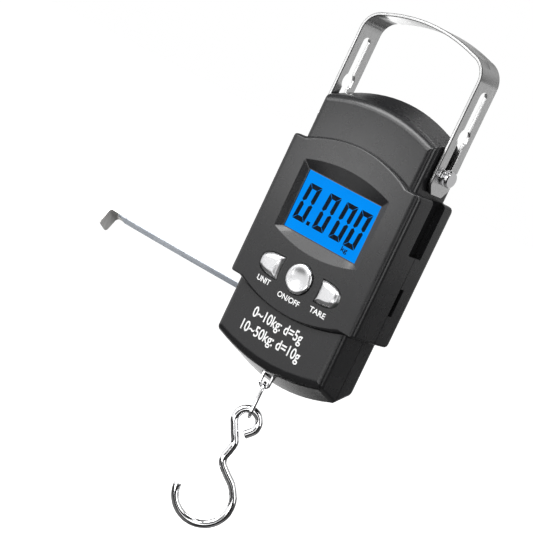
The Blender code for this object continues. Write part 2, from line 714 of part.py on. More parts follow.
def handle():
    """One steel strap bent over the top, slotted in both legs, with clipped ends."""
    x = STRAP_OUTER_X - STRAP_THICKNESS / 2
    corner_z = HANDLE_TOP_Z - STRAP_THICKNESS / 2 - HANDLE_ARCH - HANDLE_CORNER_RADIUS
    half = STRAP_WIDTH / 2
    leg_z = (STRAP_END_Z, STRAP_END_Z + 0.6, STRAP_END_Z + 3.6, 60.0, corner_z)
    leg = [(-x, z) for z in leg_z]
    bend_centre = (-x + HANDLE_CORNER_RADIUS, corner_z)
    bend = arc(bend_centre, HANDLE_CORNER_RADIUS, math.pi, math.radians(100), 5)[1:]
    rise_from = bend[-1][1]
    rise_to = HANDLE_TOP_Z - STRAP_THICKNESS / 2
    flat = -bend[-1][0]
    crown = []
    for i in range(1, 6):
        t = i / 6
        crown.append((-flat * (1 - t), rise_from + (rise_to - rise_from) * (1 - (1 - t) ** 2)))
    left = leg + bend + crown
    path = left + [(0.0, rise_to)] + [(-px, pz) for px, pz in reversed(left)]
    end_widths = [half - 3.0, half - 2.5, half]
    widths = end_widths + [half] * (len(path) - 6) + end_widths[::-1]
    strap = ribbon("handle", "brushed_steel", path, STRAP_THICKNESS, widths)
    slot_bottom = PIN_Z - BUSH_RADIUS - 0.2
    low = slot_bottom + SLOT_WIDTH / 2
    high = SLOT_TOP_Z - SLOT_WIDTH / 2
    outline = arc((0, high), SLOT_WIDTH / 2, 0, math.pi, 6)
    outline += arc((0, low), SLOT_WIDTH / 2, math.pi, 2 * math.pi, 6)
    slot = loft("handle_slots", None, [[(side, y, z) for y, z in outline] for side in (-40, 40)])
    cut(strap, slot)
    cut(strap, cylinder("handle_keyholes", None, "X", (0, 0, KEYHOLE_Z), KEYHOLE_RADIUS, 80, 20))


def swivel_eye():
    """Wire eye under a collar, on a shank that the nut holds in the load cell."""
    legs = arc((0, STAPLE_CENTRE_Z), STAPLE_RADIUS, math.pi, 2 * math.pi, 8)
    path = [(-STAPLE_RADIUS, -61.6), *legs, (STAPLE_RADIUS, -61.6)]
    eye = wire("swivel_eye", "chrome", path, STAPLE_WIRE, (0, LOAD_Y, 0), (0, 0, VIEW_TURN))
    shank = [
        (0.0, -41.4),
        (SHANK_RADIUS - 0.4, -41.4),
        (SHANK_RADIUS, -41.8),
        (SHANK_RADIUS, -50.4),
        (3.0, -50.4),
        (3.0, -52.4),
        (SHANK_RADIUS, -52.4),
        (SHANK_RADIUS, -60.0),
        (2.9, -60.0),
        (2.9, -62.0),
        (0.0, -62.0),
    ]
    join(eye, turned("swivel_shank", None, shank, (0, LOAD_Y, 0), steps=20))
    nut = [(SHANK_RADIUS + GAP, -42.4), (3.1, -42.4), (3.1, -45.1), (SHANK_RADIUS + GAP, -45.1)]
    turned("swivel_nut", "brushed_steel", nut, (0, LOAD_Y, 0), closed=True, steps=6)


def link():
    """Oval wire link, edge on to the eye and the hook."""
    top = arc((0, LINK_TOP_Z - LINK_RADIUS), LINK_RADIUS, 0, math.pi, 8)
    bottom = arc((0, LINK_BOTTOM_Z + LINK_RADIUS), LINK_RADIUS, math.pi, 2 * math.pi, 8)
    turn = (0, 0, VIEW_TURN + math.pi / 2)
    wire("link", "chrome", top + bottom, LINK_WIRE, (0, LOAD_Y, 0), turn, cyclic=True)


def hook():
    """Bent round wire: an eye, a kinked shank and a wide bowl."""
    eye = arc((0, 0), HOOK_EYE_RADIUS, HOOK_EYE_START, HOOK_EYE_END, 20)
    bowl = arc(BOWL_CENTRE, BOWL_RADIUS, BOWL_START, BOWL_END, 18)
    shank = smooth_path([eye[-1], *HOOK_SHANK, bowl[0]], 3)
    path = [HOOK_EYE_TIP, *eye, *shank[1:-1], *bowl]
    wire("hook", "chrome", path, HOOK_WIRE, (0, LOAD_Y, HOOK_EYE_Z), (0, 0, VIEW_TURN), sides=3)


# Tape


def reel():
    """Tape coil on a hub with its return spring, on a shaft between the rear wall and a cover."""
    face = COIL_WIDTH / 2
    coil = [(COIL_BORE, face), (COIL_RADIUS, face), (COIL_RADIUS, -face), (COIL_BORE, -face)]
    turn = (-math.pi / 2, 0, 0)
    centre = (REEL_X, TAPE_Y, REEL_Z)
    turned("tape_coil", "tape_steel", coil, centre, turn, closed=True, steps=32)
    hub = [
        (2.1, face),
        (HUB_RADIUS, face),
        (HUB_RADIUS, -face),
        (4.9, -face),
        (4.9, face - 1.2),
        (2.1, face - 1.2),
    ]
    turned("reel_hub", "white_plastic", hub, centre, turn, closed=True)
    turns = 3
    spiral = []
    for i in range(turns * 12 + 1):
        radius = 2.6 + 2.0 * i / (turns * 12)
        angle = 2 * math.pi * i / 12
        spiral.append((radius * math.cos(angle), radius * math.sin(angle)))
    at = (REEL_X, TAPE_Y - 1.0, REEL_Z)
    ribbon("reel_spring", "brushed_steel", spiral, 0.2, [1.6] * len(spiral), at)
    shaft = [(0.0, 3.3), (2.0, 3.3), (2.0, -4.2), (0.0, -4.2)]
    turned("reel_shaft", "brushed_steel", shaft, centre, turn, steps=16)
    low = (REEL_X - 13, 2.4, REEL_Z - 12.5)
    cover = box("reel_cover", "dark_plastic", low, (REEL_X + 13, 3.1, REEL_Z + 11.5))
    cut(cover, cylinder("cover_bore", None, "Y", (REEL_X, 2.7, REEL_Z), 2.3, 3, 16))


def tape():
    """Flat steel tape from the reel to its tip, and the bent clip riveted on the end."""
    half = TAPE_WIDTH / 2
    steps = 8
    length = REEL_X - TAPE_TIP_X
    path = []
    for i in range(steps + 1):
        t = i / steps
        path.append((REEL_X - length * t, -TAPE_DROOP * math.sin(t * math.pi / 2)))
    at = (0, TAPE_Y, TAPE_Z)
    turn = (TAPE_TILT, 0, 0)
    ribbon("tape_strip", "tape_steel", path, TAPE_THICKNESS, [half] * len(path), at, turn)
    above = -TAPE_DROOP + (TAPE_THICKNESS + CLIP_THICKNESS) / 2 + GAP / 2
    clip_path = [
        (TAPE_TIP_X + 3.5, above),
        (TAPE_TIP_X + 1.5, above),
        (TAPE_TIP_X - 4.0, above),
        (TAPE_TIP_X - 4.9, above - 0.6),
        (TAPE_TIP_X - 5.3, above - 1.6),
        (TAPE_TIP_X - 5.2, above - 6.8),
        (TAPE_TIP_X - 5.1, above - 8.0),
        (TAPE_TIP_X - 5.1, above - 8.4),
    ]
    clip_half = 3.8
    widths = [2.3, 3.4, clip_half, clip_half, clip_half, clip_half, 3.2, 2.4]
    clip = ribbon("tape_clip", "clip_steel", clip_path, CLIP_THICKNESS, widths, at, turn)
    rivet_x = TAPE_TIP_X - 2.0
    hole = [(0.0, 2.0), (1.2, 2.0), (1.2, -2.0), (0.0, -2.0)]
    lift = Matrix.Rotation(TAPE_TILT, 3, "X") @ Vector((0, 0, above))
    rivet_at = (rivet_x, TAPE_Y + lift.y, TAPE_Z + lift.z)
    cut(clip, turned("rivet_hole", None, hole, rivet_at, turn, steps=12))
    rivet = [(0.0, 1.0), (1.4, 1.0), (1.8, 0.7), (0.9, 0.7), (0.9, -0.6), (0.0, -0.6)]
    turned("clip_rivet", "brushed_steel", rivet, rivet_at, turn, steps=12)


# Power and fasteners


def batteries():
    for i, side in enumerate((-1, 1)):
        up = 1 if side < 0 else -1
        body_top = BATTERY_LENGTH / 2 - 1.0
        profile = [
            (0.0, BATTERY_LENGTH / 2),
            (1.9, BATTERY_LENGTH / 2),
            (1.9, body_top),
            (BATTERY_RADIUS - 0.4, body_top),
            (BATTERY_RADIUS, body_top - 0.5),
            (BATTERY_RADIUS, -BATTERY_LENGTH / 2),
            (0.0, -BATTERY_LENGTH / 2),
        ]
        centre_z = BATTERY_BOTTOM_Z + BATTERY_LENGTH / 2
        turn = (0, 0, 0) if up > 0 else (math.pi, 0, 0)
        at = (side * BATTERY_X, BATTERY_Y, centre_z)
        turned(f"battery_{i + 1}", "battery_wrap", profile, at, turn)
    top = BATTERY_BOTTOM_Z + BATTERY_LENGTH + GAP
    box("battery_contact_top", "brushed_steel", (-10.5, 2.5, top), (10.5, 9.8, top + 0.5))
    bottom = BATTERY_BOTTOM_Z - GAP
    box("battery_contact_bottom", "brushed_steel", (-10.5, 2.5, bottom - 0.5), (10.5, 9.8, bottom))


def case_screws():
    for i, (x, z) in enumerate(POST_SPOTS):
        head_y = 7.6
        profile = [
            (0.0, head_y),
            (2.2, head_y),
            (2.5, head_y - 0.4),
            (2.5, head_y - 1.0),
            (1.2, head_y - 1.6),
            (1.2, -3.0),
            (0.0, -4.0),
        ]
        turn = (-math.pi / 2, 0, 0)
        screw = turned(f"case_screw_{i + 1}", "brushed_steel", profile, (x, 0, z), turn, steps=14)
        for j, size in enumerate(((1.5, 0.25), (0.25, 1.5))):
            low = (x - size[0], head_y - 0.6, z - size[1])
            cut(screw, box(f"recess_{i}_{j}", None, low, (x + size[0], head_y + 1, z + size[1])))


front_shell()
rear_shell()
battery_door()
keys()
display()
electronics()
load_cell()
handle_yoke()
handle_pins()
handle()
swivel_eye()
link()
hook()
reel()
tape()
batteries()
case_screws()
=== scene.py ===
"""Looks for the digital hanging scale: materials, printing, display digits, studio light and camera."""

import json
import math

import bmesh
import bpy
from mathutils import Matrix, Vector

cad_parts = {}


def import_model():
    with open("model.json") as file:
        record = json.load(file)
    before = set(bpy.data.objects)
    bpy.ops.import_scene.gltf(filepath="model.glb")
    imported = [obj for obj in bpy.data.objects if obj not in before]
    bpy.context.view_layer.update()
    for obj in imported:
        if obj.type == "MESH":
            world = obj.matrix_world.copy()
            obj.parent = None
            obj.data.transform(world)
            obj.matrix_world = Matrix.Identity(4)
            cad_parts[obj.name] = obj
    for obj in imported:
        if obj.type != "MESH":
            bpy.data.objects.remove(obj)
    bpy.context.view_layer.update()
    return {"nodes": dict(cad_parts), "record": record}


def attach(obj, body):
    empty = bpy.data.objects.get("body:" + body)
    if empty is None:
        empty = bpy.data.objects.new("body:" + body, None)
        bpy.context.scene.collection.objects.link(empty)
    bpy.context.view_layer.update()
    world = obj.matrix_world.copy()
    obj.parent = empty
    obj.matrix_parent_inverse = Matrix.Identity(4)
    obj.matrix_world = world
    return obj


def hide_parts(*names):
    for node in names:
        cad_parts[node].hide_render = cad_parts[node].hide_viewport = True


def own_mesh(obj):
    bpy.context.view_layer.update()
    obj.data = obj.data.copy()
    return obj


MM = 0.001
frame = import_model()
nodes = frame["nodes"]

# The casing's middle lies this far below the origin, which is under the handle's top bar.
CASING_Z = -0.0938
LOAD_Y = -5.3
VIEW_TURN = math.radians(36)


def at(x, y, z):
    """A point given in millimetres about the casing's middle, in the row frame."""
    return Vector((x * MM, y * MM, z * MM + CASING_Z))


# Materials


def fill_ramp(node, stops):
    """Sets a colour ramp's stops from pairs of position and colour."""
    elements = node.color_ramp.elements
    while len(elements) < len(stops):
        elements.new(0.5)
    for element, (position, colour) in zip(elements, stops):
        element.position = position
        element.color = (*colour, 1.0)


class Graph:
    """A material's node tree with its Principled shader, and short ways to add to it."""

    def __init__(self, name, colour, roughness, metallic=0.0):
        self.material = bpy.data.materials.new(name)
        self.material.use_nodes = True
        self.tree = self.material.node_tree
        self.shader = self.tree.nodes["Principled BSDF"]
        self.set("Base Color", (*colour, 1.0))
        self.set("Roughness", roughness)
        self.set("Metallic", metallic)
        self.coordinates = self.tree.nodes.new("ShaderNodeTexCoord")

    def set(self, socket, value):
        self.shader.inputs[socket].default_value = value

    def link(self, source, target):
        self.tree.links.new(source, target)

    def add(self, kind, **values):
        node = self.tree.nodes.new(kind)
        for name, value in values.items():
            setattr(node, name, value)
        return node

    def stretched(self, scale, turn=(0, 0, 0)):
        """Object coordinates scaled per axis, so a pattern can run as streaks."""
        mapping = self.add("ShaderNodeMapping")
        mapping.inputs["Scale"].default_value = scale
        mapping.inputs["Rotation"].default_value = turn
        self.link(self.coordinates.outputs["Object"], mapping.inputs["Vector"])
        return mapping.outputs["Vector"]

    def noise(self, scale, detail=3.0, roughness=0.5, vector=None):
        node = self.add("ShaderNodeTexNoise")
        node.inputs["Scale"].default_value = scale
        node.inputs["Detail"].default_value = detail
        node.inputs["Roughness"].default_value = roughness
        self.link(vector or self.coordinates.outputs["Object"], node.inputs["Vector"])
        return node.outputs["Fac"]

    def remap(self, value, low, high, start=0.35, end=0.65):
        node = self.add("ShaderNodeMapRange")
        node.inputs["From Min"].default_value = start
        node.inputs["From Max"].default_value = end
        node.inputs["To Min"].default_value = low
        node.inputs["To Max"].default_value = high
        self.link(value, node.inputs["Value"])
        return node.outputs["Result"]

    def ramp(self, value, stops):
        node = self.add("ShaderNodeValToRGB")
        fill_ramp(node, stops)
        self.link(value, node.inputs["Fac"])
        return node.outputs["Color"]

    def colour_by(self, value, stops):
        self.link(self.ramp(value, stops), self.shader.inputs["Base Color"])

    def roughness_by(self, value, low, high):
        self.link(self.remap(value, low, high), self.shader.inputs["Roughness"])

    def bump(self, value, strength, distance):
        node = self.add("ShaderNodeBump")
        node.inputs["Strength"].default_value = strength
        node.inputs["Distance"].default_value = distance
        self.link(value, node.inputs["Height"])
        self.link(node.outputs["Normal"], self.shader.inputs["Normal"])


def moulded(name, colour, roughness, grain=2600.0, depth=0.00002, spread=0.12, uneven=0.045):
    """Moulded plastic: fine grain, slight unevenness in gloss and shade."""
    graph = Graph(name, colour, roughness)
    cloudy = graph.noise(45.0, 4.0)
    darker = tuple(c * (1 - spread) for c in colour)
    lighter = tuple(min(c * (1 + spread), 1.0) for c in colour)
    graph.colour_by(cloudy, [(0.3, darker), (0.7, lighter)])
    graph.roughness_by(graph.noise(140.0, 3.0), roughness - uneven, roughness + uneven)
    graph.bump(graph.noise(grain, 2.0), 0.25, depth)
    return graph


def metal(name, colour, roughness, streak=(1, 1, 1), scale=90.0, spread=0.08, depth=0.00001):
    """Metal with streaks drawn out along the axis of the smallest streak value, and smudged gloss."""
    graph = Graph(name, colour, roughness, 1.0)
    lines = graph.noise(scale, 4.0, 0.6, graph.stretched(streak))
    darker = tuple(c * (1 - spread) for c in colour)
    lighter = tuple(min(c * (1 + spread), 1.0) for c in colour)
    graph.colour_by(lines, [(0.3, darker), (0.7, lighter)])
    graph.roughness_by(graph.noise(60.0, 3.0), roughness * 0.8, roughness * 1.25)
    graph.bump(lines, 0.12, depth)
    return graph


def casing_plastic():
    graph = moulded("casing_satin", (0.012, 0.012, 0.013), 0.27, grain=3800.0, depth=0.000006, uneven=0.012)
    graph.set("Specular IOR Level", 0.5)
    graph.set("Coat Weight", 0.08)
    graph.set("Coat Roughness", 0.22)
    return graph.material


def printed_ink(name, colour, gloss=0.5):
    graph = Graph(name, colour, 0.55)
    graph.set("Specular IOR Level", gloss)
    worn = graph.noise(1600.0, 3.0)
    lighter = tuple(min(c * 1.04, 1.0) for c in colour)
    graph.colour_by(worn, [(0.2, tuple(c * 0.9 for c in colour)), (0.6, lighter)])
    return graph.material


def lit_display():
    """The lit LCD: blue light, made slightly uneven by its diffuser."""
    graph = Graph("lcd_lit", (0.0, 0.004, 0.02), 0.5)
    graph.set("Specular IOR Level", 0.0)
    glow = graph.noise(55.0, 2.0)
    shade = graph.ramp(glow, [(0.25, (0.0, 0.262, 0.90)), (0.75, (0.0, 0.290, 0.97))])
    graph.link(shade, graph.shader.inputs["Emission Color"])
    graph.set("Emission Strength", 1.0)
    return graph.material


def clear_lens():
    """Thin clear plastic: what lies behind shows straight through, under a faint gloss."""
    graph = Graph("lens_clear", (0.02, 0.02, 0.02), 0.05)
    graph.set("Alpha", 0.01)
    graph.roughness_by(graph.noise(120.0, 2.0), 0.3, 0.36)
    return graph.material


def circuit_green():
    graph = Graph("solder_mask", (0.02, 0.16, 0.06), 0.35)
    cells = graph.add("ShaderNodeTexVoronoi", feature="DISTANCE_TO_EDGE")
    cells.inputs["Scale"].default_value = 420.0
    graph.link(graph.coordinates.outputs["Object"], cells.inputs["Vector"])
    tracks = graph.remap(cells.outputs["Distance"], 0.0, 1.0, 0.03, 0.05)
    graph.colour_by(tracks, [(0.4, (0.05, 0.30, 0.11)), (0.6, (0.015, 0.13, 0.05))])
    graph.bump(tracks, 0.3, 0.00004)
    return graph.material


BATTERY_LOW_Z = -10.5
BATTERY_LENGTH = 44.5


def battery_wrap():
    """Shrink wrap in dark blue with a copper band nearer one end and silver ends."""
    graph = Graph("battery_wrap", (0.03, 0.08, 0.25), 0.25, 0.2)
    split = graph.add("ShaderNodeSeparateXYZ")
    graph.link(graph.coordinates.outputs["Object"], split.inputs["Vector"])
    low = BATTERY_LOW_Z * MM + CASING_Z
    high = low + BATTERY_LENGTH * MM
    along = graph.remap(split.outputs["Z"], 0.0, 1.0, low, high)
    copper = (0.55, 0.24, 0.09)
    navy = (0.015, 0.03, 0.12)
    silver = (0.6, 0.6, 0.6)
    stops = [(0.0, silver), (0.02, navy), (0.28, copper), (0.30, copper), (0.32, navy), (0.97, silver)]
    graph.colour_by(along, stops)
    graph.roughness_by(graph.noise(90.0, 2.0), 0.2, 0.32)
    return graph.material


def tape_blank():
    """Unprinted side of the tape: bluish grey lacquer over steel, with faint lengthwise lines."""
    graph = Graph("tape_blank", (0.50, 0.56, 0.66), 0.42, 0.15)
    lines = graph.noise(260.0, 3.0, 0.5, graph.stretched((0.1, 3, 3)))
    graph.colour_by(lines, [(0.2, (0.46, 0.53, 0.64)), (0.8, (0.55, 0.61, 0.70))])
    graph.roughness_by(graph.noise(80.0, 2.0), 0.33, 0.44)
    return graph.material


def clip_steel():
    """Dull plated steel, only partly metallic, so that it stays light in a dark surrounding."""
    graph = metal("clip_plated", (0.80, 0.79, 0.77), 0.42, (6, 6, 0.5), 380.0, 0.2)
    graph.set("Metallic", 0.45)
    return graph.material


FINISHES = {
    "casing_plastic": casing_plastic(),
    "key_metal": metal("key_plated", (0.74, 0.74, 0.75), 0.24, (1, 1, 1), 30.0, 0.03).material,
    "lens": clear_lens(),
    "display_glass": lit_display(),
    "brushed_steel": metal("steel_satin", (0.74, 0.74, 0.74), 0.22, (6, 6, 0.3), 320.0, 0.08).material,
    "chrome": metal("chrome_polished", (0.94, 0.94, 0.95), 0.09, (1, 1, 1), 40.0, 0.03).material,
    "tape_steel": tape_blank(),
    "clip_steel": clip_steel(),
    "board": circuit_green(),
    "dark_plastic": moulded("moulded_black", (0.02, 0.02, 0.02), 0.5).material,
    "white_plastic": moulded("moulded_white", (0.75, 0.75, 0.72), 0.45).material,
    "rubber": moulded("silicone", (0.33, 0.17, 0.2), 0.7).material,
    "aluminium": metal("milled_aluminium", (0.72, 0.73, 0.75), 0.3, (8, 8, 0.5), 420.0, 0.06).material,
    "battery_wrap": battery_wrap(),
}

slot_of = {part["node"]: part["material_slot"] for part in frame["record"]["subparts"]}
body_of = {node: body for body, group in frame["record"]["behaviour"]["bodies"].items() for node in group}
for name, node in nodes.items():
    node.data.materials.clear()
    node.data.materials.append(FINISHES[slot_of[name]])


# Pieces


def piece(name, mesh, finish, body):
    obj = bpy.data.objects.new(name, mesh)
    bpy.context.scene.collection.objects.link(obj)
    mesh.materials.clear()
    mesh.materials.append(finish)
    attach(obj, body)
    return obj


def mesh_of(name, build):
    bm = bmesh.new()
    build(bm)
    bmesh.ops.recalc_face_normals(bm, faces=bm.faces)
    mesh = bpy.data.meshes.new(name)
    bm.to_mesh(mesh)
    bm.free()
    return mesh


SHARP = math.radians(34)
FLAT_SHARP = math.radians(9)


def keeps_sharp(edge):
    """Sharp where the faces turn steeply, or where a sloping face leaves a flat front one."""
    turn = edge.calc_face_angle(math.pi)
    beside_front = any(face.normal.y < -0.9995 for face in edge.link_faces)
    return turn > SHARP or (beside_front and turn > FLAT_SHARP)


def refined(node_name):
    """The CAD node welded, with smooth shading between its sharp edges; it stands for the node."""
    bm = bmesh.new()
    bm.from_mesh(nodes[node_name].data)
    bmesh.ops.remove_doubles(bm, verts=bm.verts, dist=2e-6)
    bmesh.ops.dissolve_limit(bm, angle_limit=math.radians(0.6), verts=bm.verts, edges=bm.edges)
    bm.normal_update()
    for face in bm.faces:
        face.smooth = True
    for edge in bm.edges:
        edge.smooth = not keeps_sharp(edge)
    mesh = bpy.data.meshes.new(node_name + "_skin")
    bm.to_mesh(mesh)
    bm.free()
    slot = slot_of[node_name]
    obj = piece(node_name + "_skin", mesh, FINISHES[slot], body_of[node_name])
    evening = obj.modifiers.new("evening", "WEIGHTED_NORMAL")
    evening.keep_sharp = True
    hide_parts(node_name)


for node_name in (
    "front_shell",
    "rear_shell",
    "battery_door",
    "tape_clip",
    "handle_pin_left",
    "handle_pin_right",
    "handle_bush_left",
    "handle_bush_right",
    "swivel_eye",
):
    refined(node_name)


def arc(centre, radius, start, end, steps):
    angles = [start + (end - start) * i / steps for i in range(steps + 1)]
    return [(centre[0] + radius * math.cos(a), centre[1] + radius * math.sin(a)) for a in angles]


def smooth_path(points, steps):
    """Catmull-Rom points through the given ones."""
    ends = [points[0], *points, points[-1]]
    made = []
    for before, first, second, after in zip(ends, ends[1:], ends[2:], ends[3:]):
        for i in range(steps):
            t = i / steps
            point = []
            for a, b, c, d in zip(before, first, second, after):
                square = (2 * a - 5 * b + 4 * c - d) * t**2
                cube = (3 * b - a - 3 * c + d) * t**3
                point.append(0.5 * (2 * b + (c - a) * t + square + cube))
            made.append(tuple(point))
    return [*made, points[-1]]


WIRE_SIDES = 24
WIRE_END_ROUNDING = 0.3


def round_wire(name, path, radius, z, turn, body, cyclic=False):
    """A smooth round wire through (x, z) points in a plane turned about the load line, with softened ends."""
    side = Vector((math.cos(turn), math.sin(turn), 0))
    normal = Vector((-math.sin(turn), math.cos(turn), 0))
    middle_of = [side * x + Vector((0, LOAD_Y, z + height)) for x, height in path]
    count = len(middle_of)

    def build(bm):
        rings = []
        for i, point in enumerate(middle_of):
            after = middle_of[(i + 1) % count] if cyclic else middle_of[min(i + 1, count - 1)]
            before = middle_of[i - 1] if cyclic or i else middle_of[0]
            along = (after - before).normalized()
            out = along.cross(normal)
            ring = []
            for j in range(WIRE_SIDES):
                angle = 2 * math.pi * j / WIRE_SIDES
                spot = point + (normal * math.cos(angle) + out * math.sin(angle)) * radius
                ring.append(bm.verts.new(at(*spot)))
            rings.append(ring)
        pairs = list(zip(rings, rings[1:]))
        if cyclic:
            pairs.append((rings[-1], rings[0]))
        for first, second in pairs:
            for j in range(WIRE_SIDES):
                k = (j + 1) % WIRE_SIDES
                bm.faces.new((first[j], second[j], second[k], first[k]))
        if not cyclic:
            bm.faces.new(rings[0])
            bm.faces.new(rings[-1][::-1])

    mesh = mesh_of(name, build)
    mesh.shade_smooth()
    mesh.set_sharp_from_angle(angle=math.radians(50))
    obj = piece(name, mesh, FINISHES["chrome"], body)
    if not cyclic:
        rounding = obj.modifiers.new("rounding", "BEVEL")
        rounding.width = WIRE_END_ROUNDING * MM
        rounding.segments = 3
        rounding.limit_method = "ANGLE"
        rounding.angle_limit = math.radians(60)
    return obj


# The hook's points are (x, z) in its own plane, about its eye's middle.
HOOK_EYE_Z = -84.2
HOOK_WIRE_RADIUS = 1.75
HOOK_EYE_TIP = (1.5, -5.7)
HOOK_SHANK = [
    (-2.3, -6.9),
    (-0.7, -10.2),
    (-1.2, -13.8),
    (-2.1, -17.6),
    (-1.2, -20.6),
    (2.1, -23.9),
    (5.9, -27.2),
]
HOOK_EYE_RADIUS = 5.1
BOWL_CENTRE = (-2.7, -35.9)
BOWL_RADIUS = 12.1
LINK_WIRE_RADIUS = 0.8
LINK_RADIUS = 3.2
LINK_TOP_Z = -66.7
LINK_LOW_Z = -82.0


def load_line():
    """Smooth wires in place of the hook and the link."""
    eye = arc((0, 0), HOOK_EYE_RADIUS, math.radians(-48), math.radians(212), 48)
    bowl = arc(BOWL_CENTRE, BOWL_RADIUS, math.radians(22), math.radians(-182), 60)
    shank = smooth_path([eye[-1], *HOOK_SHANK, bowl[0]], 8)
    path = [HOOK_EYE_TIP, *eye, *shank[1:-1], *bowl]
    hook = round_wire("hook_wire", path, HOOK_WIRE_RADIUS, HOOK_EYE_Z, VIEW_TURN, "hook")
    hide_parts("hook")
    top = arc((0, LINK_TOP_Z - LINK_RADIUS), LINK_RADIUS, 0, math.pi, 24)
    bottom = arc((0, LINK_LOW_Z + LINK_RADIUS), LINK_RADIUS, math.pi, 2 * math.pi, 24)
    link_turn = VIEW_TURN + math.pi / 2
    link = round_wire("link_wire", top + bottom, LINK_WIRE_RADIUS, 0.0, link_turn, "link", cyclic=True)
    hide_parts("link")


load_line()


# Handle: the strap swept along its bent path, with softened edges and an open slot in each leg

STRAP_HALF = 7.2
STRAP_MIDDLE_X = 31.7
HALF_THICKNESS = 0.7
STRAP_END_Z = 33.6
BEND_RADIUS = 9.0
BEND_Z = 81.7
CROWN_Z = 94.5
SLOT_HALF = 2.3
SLOT_LOW_Z = 42.0
SLOT_HIGH_Z = 76.9
KEYHOLE_Z = 59.4
KEYHOLE_RADIUS = 3.8
EDGE_SOFTENING = 0.3
# A leg's end is cut back at its corners: height above the end, and how much narrower each side is.
LEG_END_STEPS = ((0.0, 3.0), (0.6, 2.5), (3.6, 0.0))


def slot_half_width(z):
    """Half the opening in a leg at height z: the slot, or the keyhole where that is wider."""
    off_slot = max(SLOT_LOW_Z - z, z - SLOT_HIGH_Z, 0.0)
    off_hole = abs(z - KEYHOLE_Z)
    slot = math.sqrt(max(SLOT_HALF**2 - off_slot**2, 0.0))
    hole = math.sqrt(max(KEYHOLE_RADIUS**2 - off_hole**2, 0.0))
    return max(slot, hole)


def leg_heights():
    """Heights up a leg, closer together round the slot's ends and the keyhole."""
    quarter = [math.sin(math.pi / 2 * i / 10) for i in range(11)]
    low_end = [SLOT_LOW_Z - SLOT_HALF * q for q in reversed(quarter)]
    high_end = [SLOT_HIGH_Z + SLOT_HALF * q for q in quarter]
    reach = math.sqrt(KEYHOLE_RADIUS**2 - SLOT_HALF**2)
    keyhole = [KEYHOLE_Z + reach * (i / 8) for i in range(-8, 9)]
    ends = [STRAP_END_Z + height for height, _ in LEG_END_STEPS]
    return [*ends, *low_end, *keyhole, *high_end]


def strap_stations():
    """Along the strap from the left leg's end to the right one's: middle point, outward turn, slot, width."""
    cut_back = {STRAP_END_Z + height: narrower for height, narrower in LEG_END_STEPS}
    stations = []
    for z in leg_heights():
        width = STRAP_HALF - cut_back.get(z, 0.0)
        stations.append((-STRAP_MIDDLE_X, z, slot_half_width(z), width))
    bend = arc((-STRAP_MIDDLE_X + BEND_RADIUS, BEND_Z), BEND_RADIUS, math.pi, math.radians(100), 20)
    stations += [(x, z, 0.0, STRAP_HALF) for x, z in bend]
    flat = -bend[-1][0]
    rise = CROWN_Z - bend[-1][1]
    for i in range(1, 25):
        t = i / 24
        stations.append((-flat * (1 - t), bend[-1][1] + rise * (1 - (1 - t) ** 2), 0.0, STRAP_HALF))
    return stations + [(-x, z, slot, width) for x, z, slot, width in reversed(stations[:-1])]


def strap_section(low, high):
    """Outline of the strap's half between two distances from its middle, with softened edges."""
    outline = []
    outer = EDGE_SOFTENING
    inner = min(EDGE_SOFTENING, low * 0.5)
    corners = ((high, 1, outer, 90), (high, -1, outer, 0), (low, -1, inner, -90), (low, 1, inner, 180))
    for across, side, radius, start in corners:
        inward = -radius if across == high else radius
        for i in range(4):
            angle = math.radians(start - 30 * i)
            y = across + inward + radius * math.cos(angle)
            lift = side * (HALF_THICKNESS - radius) + radius * math.sin(angle)
            outline.append((y, lift))
    return outline


# These rounding sides get the darker steel: painted shade for the thin dark lines along the strap's edges.
PAINTED_SHADE_SIDES = (0, 1, 2, 4, 5, 6)  # the section's sides that round its outer edge


def strap(bm):
    stations = strap_stations()
    count = len(stations)
    for side in (-1, 1):
        rings = []
        for i, (x, z, slot, width) in enumerate(stations):
            before = stations[max(i - 1, 0)]
            after = stations[min(i + 1, count - 1)]
            along = Vector((after[0] - before[0], after[1] - before[1])).normalized()
            ring = []
            for y, lift in strap_section(slot, width):
                ring.append(bm.verts.new(at(x - along.y * lift, side * y, z + along.x * lift)))
            rings.append(ring)
        for first, second in zip(rings, rings[1:]):
            for j in range(len(first)):
                k = (j + 1) % len(first)
                face = bm.faces.new((first[j], second[j], second[k], first[k]))
                face.material_index = int(j in PAINTED_SHADE_SIDES)
        bm.faces.new(rings[0])
        bm.faces.new(rings[-1][::-1])


# Painted shade: near-black steel for the dark lines along the strap's rounded edges.
PAINTED_DARK_EDGE = metal("painted_dark_edge", (0.07, 0.07, 0.07), 0.35, (6, 6, 0.3), 320.0).material


def handle_strap():
    """The strap, with painted shade on its rounded outer edges: a darker steel there draws their thin dark
    lines.
    """
    mesh = mesh_of("handle_strap", strap)
    mesh.shade_smooth()
    mesh.set_sharp_from_angle(angle=math.radians(50))
    corners = [face.material_index for face in mesh.polygons]
    obj = piece("handle_strap", mesh, FINISHES["brushed_steel"], "handle")
    mesh.materials.append(PAINTED_DARK_EDGE)
    mesh.polygons.foreach_set("material_index", corners)
    evening = obj.modifiers.new("evening", "WEIGHTED_NORMAL")
    evening.keep_sharp = True
    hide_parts("handle")


handle_strap()


# Keys: crowned metal caps over the CAD keys' stems

KEY_ROW_Z = -20.8
KEY_FRONT_Y = -16.3
D_FOOT_Y = -11.65
D_MIDDLE_X = 16.6
CROWN_HEIGHT = 1.5
OUTLINE_POINTS = 56
DISH_SIDES = 72
# The power key's rounded rim and shallow dish: radius, and depth behind the key's front.
DISH_PROFILE = (
    (6.45, 4.6),
    (6.5, 1.4),
    (6.42, 0.75),
    (6.15, 0.32),
    (5.7, 0.08),
    (5.2, 0.0),
    (4.7, 0.05),
    (4.0, 0.2),
    (3.0, 0.42),
    (2.0, 0.58),
    (1.0, 0.68),
    (0.15, 0.72),
)


